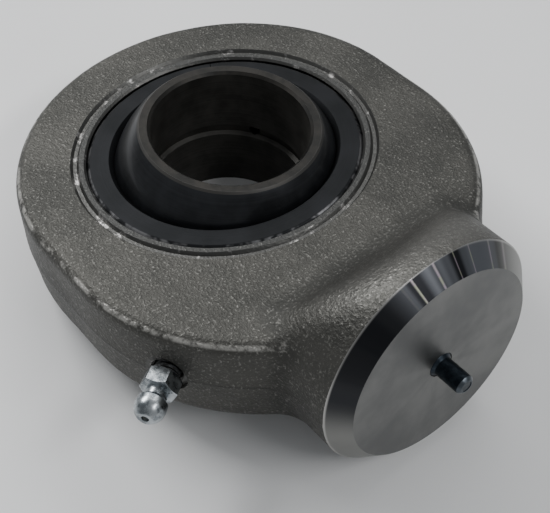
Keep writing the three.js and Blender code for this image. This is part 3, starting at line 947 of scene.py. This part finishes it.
screw_thread(stem_mesh, stem_radius, thread_pitch, thread_depth, thread_foot, -thread_margin)
stem_mesh.materials.append(zinc)
nipple_body = link("grease_nipple_body", stem_mesh)
cut(nipple_body, hexagon.data.copy(), "UNION", zinc)
bpy.data.objects.remove(hexagon)
channel_foot = -stem_length + crimp
valve_top = tip_height - mouth_length
valve_foot = valve_top - channel_radius + mouth_bore
mouth_flared = mouth_bore + 0.3
channel_start = -stem_length - channel_overrun
channel_end = tip_height + channel_overrun
below_hexagon = 0.02
channel = [(0, channel_start), (mouth_bore, channel_start), (mouth_bore, channel_foot),
           (channel_radius, channel_foot), (channel_radius, valve_foot), (mouth_bore, valve_top),
           (mouth_bore, tip_height - tip_break), (mouth_flared, tip_height + 2 * tip_break),
           (mouth_flared, channel_end),
           (0, channel_end)]
cut(nipple_body, turned("channel_tool", channel, sides=64), "DIFFERENCE", zinc)
# The thread between the hexagon and the spot face is painted dark as the shade that falls in that recess.
shaded_greasy_thread = finish_of("shaded_greasy_thread", thread_look, {"Metallic": 0.85})
paint(nipple_body, shaded_greasy_thread, lambda face: face.center.z < -below_hexagon * mm)
nipple_place = Matrix.Translation(nipple_aim + nipple_axis * nipple_seat * mm) @ nipple_turn
nipple_body.data.transform(nipple_place)
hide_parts("nipple_body")
ease(nipple_body, angle=24)
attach(nipple_body, "eye")


# ---------------------------------------------------------------- check ball
# A hard steel ball that closes the nipple's mouth from inside, so that grease goes in and not out. The
# spring under it holds it up on the cone at the end of the bore.

def check_ball_look(place):
    """Polished ball, smeared with old grease."""
    smear = grain(place, 0.0009, 3.0, 0.6)
    tone = blended((0.62, 0.63, 0.64), (0.34, 0.32, 0.27), smear.fade(0.52, 0.66))
    rough = 0.10 + 0.3 * smear.fade(0.45, 0.7)
    return {"Base Color": tone, "Roughness": rough, "Normal": relief(smear, 0.000004)}


check_radius = 1.2
seat_clearance = 0.06
check_centre = valve_foot + channel_radius - (check_radius + seat_clearance) * math.sqrt(2)
check_profile = arc(check_radius, -90, 90, 32, check_centre)
check_profile[0] = (0, check_centre - check_radius)
check_profile[-1] = (0, check_centre + check_radius)
check_ball = link("check_ball", turned("check_ball", check_profile, sides=64))
check_ball.data.materials.append(finish_of("ball_steel", check_ball_look, {"Metallic": 1.0}))
check_ball.data.transform(nipple_place)
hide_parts("nipple_ball")
ease(check_ball, angle=40)
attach(check_ball, "check_ball")


# ---------------------------------------------------------------- check spring
# A compression spring of hard-drawn wire that holds the ball up on its seat from the crimped foot of the
# nipple's bore. Its end turns lie closer than its middle ones.

wire_radius = 0.18
coil_radius = 0.97
spring_turns = 8
spring_foot = channel_foot + wire_radius + seat_clearance
ball_touch = check_radius + wire_radius + seat_clearance
spring_top = check_centre - math.sqrt(ball_touch ** 2 - coil_radius ** 2)
spring_length = spring_top - spring_foot
end_closing = 0.6
ball_travel = 1.0


def spring_tree():
    """Winds a wire round a coil whose pitch tightens towards both ends."""
    tree, size = open_tree("spring", {
        "Wire radius": wire_radius * mm, "Coil radius": coil_radius * mm,
        "Free length": spring_length * mm, "Turns": spring_turns, "End closing": end_closing})
    base = Signal(tree)
    coil = base.make("GeometryNodeCurveSpiral", {
        "Resolution": 32, "Rotations": size["Turns"], "Start Radius": size["Coil radius"],
        "End Radius": size["Coil radius"], "Height": size["Free length"]})
    along = base.make("GeometryNodeSplineParameter")
    ripple = along.maths("SINE", along * (2 * math.pi)) * size["End closing"] / (2 * math.pi)
    lift = base.make("ShaderNodeCombineXYZ", {"Z": ripple * size["Free length"] * -1.0})
    closed = base.make("GeometryNodeSetPosition", {"Geometry": coil, "Offset": lift})
    section = base.make("GeometryNodeCurvePrimitiveCircle", {
        "Resolution": 12, "Radius": size["Wire radius"]})
    wire = base.make("GeometryNodeCurveToMesh", {
        "Curve": closed, "Profile Curve": section, "Fill Caps": True})
    return close_tree(tree, wire, size["Finish"])


def wire_look(place):
    """Hard-drawn wire: fine draw lines under a film of grease."""
    drawn = grain(place, 0.0004, 3.0, 0.6)
    tone = blended((0.22, 0.22, 0.23), (0.42, 0.41, 0.38), drawn.fade(0.35, 0.65))
    return {"Base Color": tone, "Roughness": 0.26 + 0.16 * drawn, "Normal": relief(drawn, 0.00001)}


spring_wire = finish_of("spring_wire", wire_look, {"Metallic": 1.0})
check_spring = grown("check_spring", spring_tree(), spring_wire)
check_spring.data.transform(nipple_place @ Matrix.Translation((0, 0, spring_foot * mm)))
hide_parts("nipple_spring")
ease(check_spring, angle=40)
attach(check_spring, "eye")
(spring_length - ball_travel) / spring_length
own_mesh(check_spring)


# ---------------------------------------------------------------- centring pin
# A hard, blued steel pin pressed into the weld face to centre the rod. A short flare seats it in its sunk
# mouth, and its turned end has a painted highlight round the rim.

pin_chamfer = 0.6
pin_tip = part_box("centring_pin")[1].x / mm
pin_root = face_mm - pin_depth
end_cup = 0.12
cup_rim = 0.3
cup_edge = 0.45
wide_break = 0.06
fine_break = 0.04
shoulder = pin_tip - pin_chamfer
flat_end = pin_radius - pin_chamfer


def pin_look(place):
    """Blued steel, with a painted highlight round the end's rim."""
    x, y, z = axes_of(place)
    end = x.fade((shoulder - 0.1) * mm, shoulder * mm)
    # Painted highlight round the rim of the pin's end.
    rim = end * distance(y, z).fade((flat_end - 0.35) * mm, flat_end * mm)
    film = grain(place, 0.0014, 3.0, 0.6)
    tone = blended((0.014, 0.020, 0.028), (0.034, 0.046, 0.058), film.fade(0.35, 0.65))
    tone = blended(tone, (0.12, 0.135, 0.15), rim * 0.5)
    return {"Base Color": tone, "Roughness": 0.26 + 0.14 * film, "Normal": relief(film, 0.00002)}


pin_profile = [(0, pin_root), (flat_end, pin_root), (pin_radius, pin_root + pin_chamfer),
               (pin_radius, face_mm - pin_flare), (pin_flare_radius, face_mm - pin_flare),
               (pin_flare_radius, face_mm - wide_break),
               (pin_flare_radius - 2 * fine_break, face_mm + fine_break),
               (pin_radius + 2 * wide_break, face_mm + pin_flare * 0.7), (pin_radius, face_mm + pin_flare),
               (pin_radius, shoulder - wide_break), (pin_radius - wide_break, shoulder + fine_break),
               (flat_end + fine_break, pin_tip - fine_break), (flat_end - wide_break, pin_tip),
               (flat_end - cup_rim, pin_tip), (flat_end - cup_edge, pin_tip - end_cup),
               (0, pin_tip - end_cup)]
pin_mesh = turned("blued_centring_pin", pin_profile, sides=96, axis="X")
centring_pin = link("blued_centring_pin", pin_mesh)
centring_pin.data.materials.append(finish_of("blued_steel", pin_look, {"Metallic": 0.85}))
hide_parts("centring_pin")
ease(centring_pin, angle=24)
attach(centring_pin, "eye")
